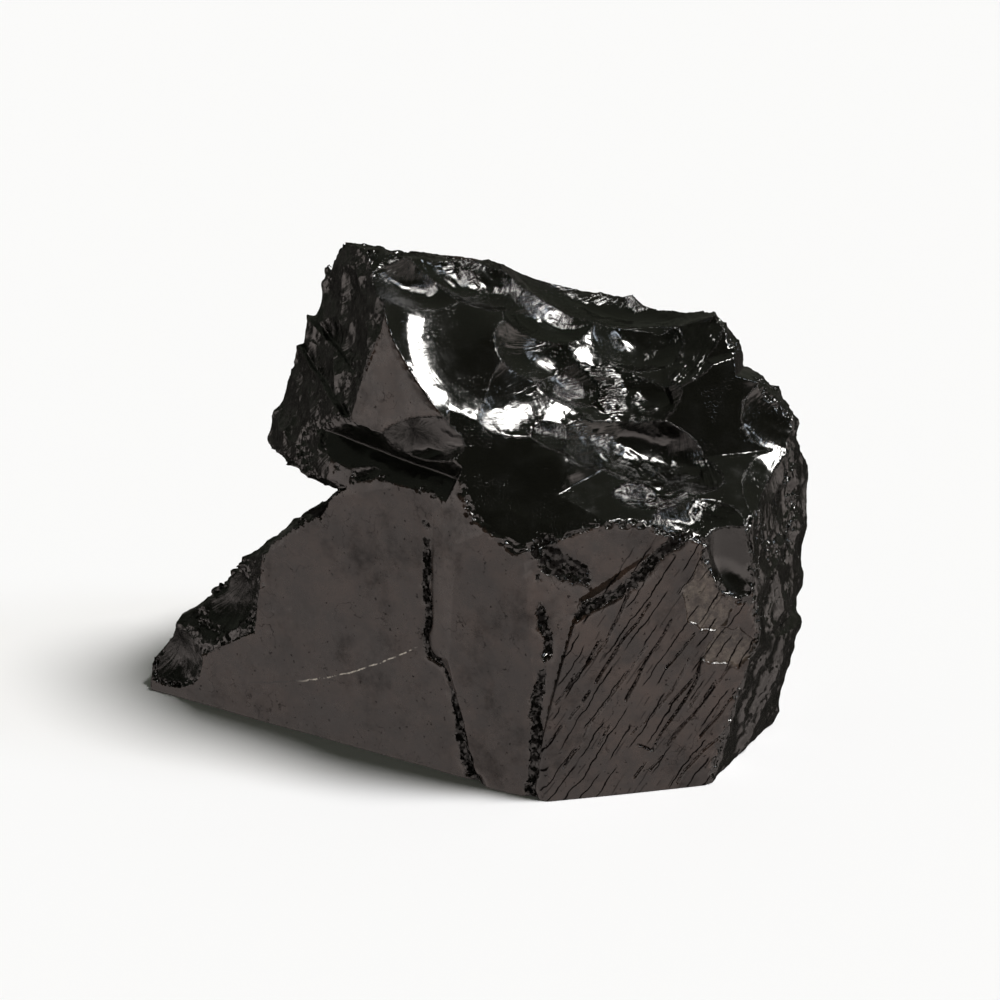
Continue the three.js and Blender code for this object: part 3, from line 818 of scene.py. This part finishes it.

# One long scratch curves over the left front face, dull at its left end, with a painted glint in
# dashes along it after that. Its line rises from SCRATCH_FOOT by SCRATCH_RISE and SCRATCH_BEND, all
# in mm from its left end.
SCRATCH_START = 27.0
SCRATCH_END = 21.0
SCRATCH_FOOT = 3.65
SCRATCH_RISE = 0.1545
SCRATCH_BEND = 0.0134
scratch_axes = plane_axes(*FRONT_LEFT[:2])
across, upward, off_left = [reach_along(FRONT_LEFT[2], axis) for axis in scratch_axes]
along = add_node("Math", (across, SCRATCH_START), operation="ADD")
squared = add_node("Math", (along, along), operation="MULTIPLY")
bend = add_node("Math", (squared, SCRATCH_BEND), operation="MULTIPLY")
rise = add_node("Math", (along, SCRATCH_RISE), operation="MULTIPLY")
curve = add_node("Math", (bend, rise), operation="ADD")
curve = add_node("Math", (curve, SCRATCH_FOOT), operation="ADD")
wobble = add_node("TexNoise", {"Vector": place, "Scale": 1 / (1.5 * MM), "Detail": 3.0,
                               "Roughness": 0.5})
wobble = add_node("Math", (wobble, 0.5), operation="MULTIPLY")
curve = add_node("Math", (curve, wobble), operation="ADD")
off_curve = add_node("Math", (curve, upward), operation="SUBTRACT")
off_curve = add_node("Math", (off_curve,), operation="ABSOLUTE")
line = add_node("MapRange", (off_curve, 0.11, 0.04), **SMOOTH)
off_left = add_node("Math", (off_left,), operation="ABSOLUTE")
on_left = add_node("MapRange", (off_left, 1.0, 0.8), **SMOOTH)
scratch = add_node("Math", (line, on_left), operation="MULTIPLY")
begun = add_node("MapRange", (along, 0.0, 1.5), **SMOOTH)
not_ended = add_node("MapRange", (along, SCRATCH_END, SCRATCH_END - 1), **SMOOTH)
between = add_node("Math", (begun, not_ended), operation="MULTIPLY")
scratch = add_node("Math", (scratch, between), operation="MULTIPLY")
# Painted highlight: past its dull end the scratch is coloured pale in dashes, standing in for a
# glint.
past_dull = add_node("MapRange", (along, 6.5, 9.0), **SMOOTH)
scratch_glint = add_node("Math", (past_dull, blotches(0.5, 2.0, 0.35, 0.6)), operation="MULTIPLY")
scratch_glint = add_node("Math", (scratch, scratch_glint), operation="MULTIPLY")

# Over a joint face lie, one on the other, a brown film, darker stain, shaded pits, the paler
# chipped patches, partly a painted reflection of the table, and the scratch with its painted glint.
BARE_JOINT = "#120c09"
FILM = "#33261f"
STAIN = "#17150d"
PIT_SHADE = "#0a0807"
CHIPPED_TONE_AND_REFLECTION = "#6f6559"
SCRATCH_DULL = "#070605"
SCRATCH_PAINTED_GLINT = "#d9d0c2"
GLASS = "#0c0c09"
film = blotches(5.0, 10.0, 0.36, 0.66, roughness=0.72)
stain = blotches(2.2, 6.0, 0.60, 0.74, roughness=0.7)
# Painted reflection, in part: the chipped patches are coloured pale like the mirrored pale table,
# over their own duller tone.
chipped = add_node("Math", (chipped, blotches(0.8, 6.0, 0.40, 0.66, 0.10, 1.0, 0.75)),
                   operation="MULTIPLY")
chipped = add_node("Math", (chipped, 0.55), operation="MULTIPLY")
joint_colour = linear(BARE_JOINT)
for amount, tone in ((film, FILM), (stain, STAIN), (pit, PIT_SHADE), (chipped, CHIPPED_TONE_AND_REFLECTION),
                     (scratch, SCRATCH_DULL), (scratch_glint, SCRATCH_PAINTED_GLINT)):
    joint_colour = add_node("Mix", {0: amount, 6: joint_colour, 7: linear(tone)}, 2,
                            data_type="RGBA")
colour = add_node("Mix", {0: joint, 6: linear(GLASS), 7: joint_colour}, 2, data_type="RGBA")
satin = blotches(4.0, 6.0, 0.35, 0.65, 0.20, 0.36, 0.7)
glassy = blotches(2.4, 4.0, 0.4, 0.7, 0.10, 0.20)
roughness = add_node("Mix", {0: joint, 2: glassy, 3: satin}, data_type="FLOAT")
surface = add_node("BsdfPrincipled", {"Base Color": colour, "Roughness": roughness, "Normal": bump,
                                      "IOR": 1.6})

# The shrinkage cracks of the right front face, down to hair-thin ones about 1 mm apart that run
# along their slant, and the grooves are darkened as painted shade; real dirt leaves hairlines and
# smudges on every joint face.
DIRT_AND_CRACK_SHADE = "#0b0908"
SLANT = math.radians(56)
with_slant = crack_axes[0] * math.cos(SLANT) + crack_axes[1] * math.sin(SLANT)
over_slant = crack_axes[0] * math.sin(SLANT) - crack_axes[1] * math.cos(SLANT)
lengthways = reach_along(FRONT_RIGHT[2], with_slant)
sideways = reach_along(FRONT_RIGHT[2], over_slant)
off_right = reach_along(FRONT_RIGHT[2], crack_axes[2])


def uneven(x, y, seed, detail):
    """A noise over the right front face."""
    spot = add_node("CombineXYZ", (x, y, seed))
    return add_node("TexNoise", {"Vector": spot, "Scale": 1.0, "Detail": detail})


def hair_cracks(spacing, length, share, seed):
    """Lines `spacing` mm apart that wander and break off, with `share` of their length showing."""
    wander = uneven(add_node("Math", (sideways, 5.0), operation="DIVIDE"),
                    add_node("Math", (lengthways, 9.0), operation="DIVIDE"), seed, 2.0)
    wobble = uneven(add_node("Math", (sideways, 1.5), operation="DIVIDE"),
                    add_node("Math", (lengthways, 1.5), operation="DIVIDE"), seed, 3.0)
    wander = add_node("Math", (wander, 1.5), operation="MULTIPLY")
    wobble = add_node("Math", (wobble, 0.5), operation="MULTIPLY")
    count = add_node("Math", (sideways, spacing), operation="DIVIDE")
    count = add_node("Math", (count, wander), operation="ADD")
    count = add_node("Math", (count, wobble), operation="ADD")
    off_line = add_node("Math", (count,), operation="FRACT")
    off_line = add_node("Math", (off_line, 0.5), operation="SUBTRACT")
    off_line = add_node("Math", (off_line,), operation="ABSOLUTE")
    off_line = add_node("Math", (off_line, spacing), operation="MULTIPLY")
    hair = add_node("MapRange", (off_line, 0.10, 0.04), **SMOOTH)
    number = add_node("Math", (count,), operation="FLOOR")
    present = uneven(add_node("Math", (number, 7.3), operation="MULTIPLY"),
                     add_node("Math", (lengthways, length), operation="DIVIDE"), seed, 1.0)
    edge = 0.5 + 0.4 * (0.5 - share)
    present = add_node("MapRange", (present, edge, edge + 0.05), **SMOOTH)
    return add_node("Math", (hair, present), operation="MULTIPLY")


# The hair cracks have no relief: they are dark lines of painted shade.
close_cracks = add_node("Math", (hair_cracks(0.55, 3.0, 0.25, 8.0), 0.5), operation="MULTIPLY")
hair = add_node("Math", (hair_cracks(1.25, 6.0, 0.6, 3.0), close_cracks), operation="MAXIMUM")
off_right = add_node("Math", (off_right,), operation="ABSOLUTE")
on_right = add_node("MapRange", (off_right, 0.7, 0.5), **SMOOTH)
hair = add_node("Math", (hair, on_right), operation="MULTIPLY")

HAIRLINE = 0.006
level = add_node("TexNoise", {"Vector": place, "Scale": 1 / (3.4 * MM), "Detail": 5.0,
                              "Roughness": 0.5})
level = add_node("Math", (level, 0.5), operation="SUBTRACT")
level = add_node("Math", (level,), operation="ABSOLUTE")
hairlines = add_node("MapRange", (level, HAIRLINE, 0.35 * HAIRLINE), **SMOOTH)
hairlines = add_node("Math", (hairlines, blotches(4.5, 2.0, 0.50, 0.62, 0.0, 0.6)),
                     operation="MULTIPLY")
specks = blotches(0.45, 3.0, 0.66, 0.72, 0.0, 0.7)
smudges = blotches(6.0, 9.0, 0.48, 0.74, 0.0, 0.55, 0.75)
lines = add_node("Math", (hair, hairlines), operation="MAXIMUM")
spots = add_node("Math", (specks, smudges), operation="MAXIMUM")
marks = add_node("Math", (lines, spots), operation="MAXIMUM")
marks = add_node("Math", (marks, joint), operation="MULTIPLY")
# Painted shade: a dark matt coat lies in the cracks and grooves.
crack_shade = add_node("MapRange", (cracked, 0.12, 0.75), **SMOOTH)
groove_shade = add_node("MapRange", (glitter, 1.0, 2.0), **SMOOTH)
groove_shade = add_node("Math", (groove_shade, blotches(0.7, 3.0, 0.42, 0.58, 0.25, 0.9)),
                       operation="MULTIPLY")
crack_and_groove_shade = add_node("Math", (crack_shade, groove_shade), operation="MAXIMUM")
dirt_and_shade_mask = add_node("Math", (crack_and_groove_shade, marks), operation="MAXIMUM")
# The dark matt coat is real dirt in the hairlines, specks and smudges, and painted shade in the
# cracks and grooves.
dirt_and_shade = add_node("BsdfDiffuse", {"Color": linear(DIRT_AND_CRACK_SHADE)})
whole = add_node("MixShader", (dirt_and_shade_mask, surface, dirt_and_shade))
add_node("OutputMaterial", {"Surface": whole})
stone.data.materials.clear()
stone.data.materials.append(shungite)

# ---- The floor -----------------------------------------------------------------------------
# A plain sheet of matt white paper, wide enough to fill the view. The stone mirrors the room that
# is described with the light, and not this sheet.
FLOOR_SIDE = 6.0
PAPER = "#f0f1f4"
floor_mesh = bpy.data.meshes.new("floor")
half = FLOOR_SIDE / 2
floor_corners = [(-half, -half, 0), (half, -half, 0), (half, half, 0), (-half, half, 0)]
floor_mesh.from_pydata(floor_corners, [], [(0, 1, 2, 3)])
floor = bpy.data.objects.new("floor", floor_mesh)
bpy.context.scene.collection.objects.link(floor)
paper = bpy.data.materials.new("matt white paper")
paper.use_nodes = True
tree = paper.node_tree
tree.nodes.clear()
sheet = add_node("BsdfPrincipled", {"Base Color": linear(PAPER), "Roughness": 0.9,
                                    "Specular IOR Level": 0.0})
add_node("OutputMaterial", {"Surface": sheet})
floor_mesh.materials.append(paper)
floor.visible_glossy = False


# ---- The light -----------------------------------------------------------------------------
# A round soft lamp high on the right and a small cool one low beside it, in a dark room with a
# pale table around the stone, which the flat front faces mirror.
def lamp(name, towards, half_angle, brightness, colour):
    light = bpy.data.lights.new(name, "SUN")
    light.angle = 2 * math.radians(half_angle)
    light.energy = brightness * math.pi * math.sin(math.radians(half_angle)) ** 2
    light.color = colour
    holder = bpy.data.objects.new(name, light)
    x, y, z = towards
    holder.rotation_euler = (math.atan2(math.hypot(x, y), z), 0, math.atan2(x, -y))
    bpy.context.scene.collection.objects.link(holder)
    return holder


lamp("soft_key", towards=(0.5, -0.05, 0.865), half_angle=8.6, brightness=50,
     colour=(1.0, 0.975, 0.94))
lamp("cool_rim", towards=(0.75, -0.1, 0.55), half_angle=6, brightness=12, colour=(0.8, 0.88, 1.0))

# The room's air is nearly black behind and below, and dim above; the table glows level with the
# stone in front, a little less bright nearer to it.
AIR_DARK = (0.012, 0.012, 0.010, 1.0)
AIR_DIM = (0.094, 0.101, 0.080, 1.0)
TABLE_NEAR = (0.91, 0.80, 0.755, 1.0)
TABLE_FAR = (1.5, 1.33, 1.25, 1.0)
room = bpy.data.worlds.new("dark room with a pale table")
room.use_nodes = True
bpy.context.scene.world = room
tree = room.node_tree
tree.nodes.clear()
direction = add_node("SeparateXYZ", (add_node("TexCoord", output="Generated"),)).node
behind, above = direction.outputs["Y"], direction.outputs["Z"]
low_down = add_node("MapRange", (above, 0.14, 0.02), **SMOOTH)
in_front = add_node("MapRange", (behind, 0.48, 0.06, 0.03), **SMOOTH)
table = add_node("Math", (low_down, in_front), operation="MULTIPLY")
high = add_node("MapRange", (above, -0.3, 0.3), **SMOOTH)
not_before = add_node("MapRange", (behind, -0.5, -0.05, 0.25), **SMOOTH)
high = add_node("Math", (high, not_before), operation="MULTIPLY")
air = add_node("Mix", {0: high, 6: AIR_DARK, 7: AIR_DIM}, 2, data_type="RGBA")
far_off = add_node("MapRange", (above, -0.355, -0.10), **SMOOTH)
table_glow = add_node("Mix", {0: far_off, 6: TABLE_NEAR, 7: TABLE_FAR}, 2, data_type="RGBA")
sky = add_node("Mix", {0: table, 6: air, 7: table_glow}, 2, data_type="RGBA")
glow = add_node("Background", {"Color": sky, "Strength": 1.0})
add_node("OutputWorld", {"Surface": glow})
bpy.context.scene.view_settings.view_transform = "Standard"
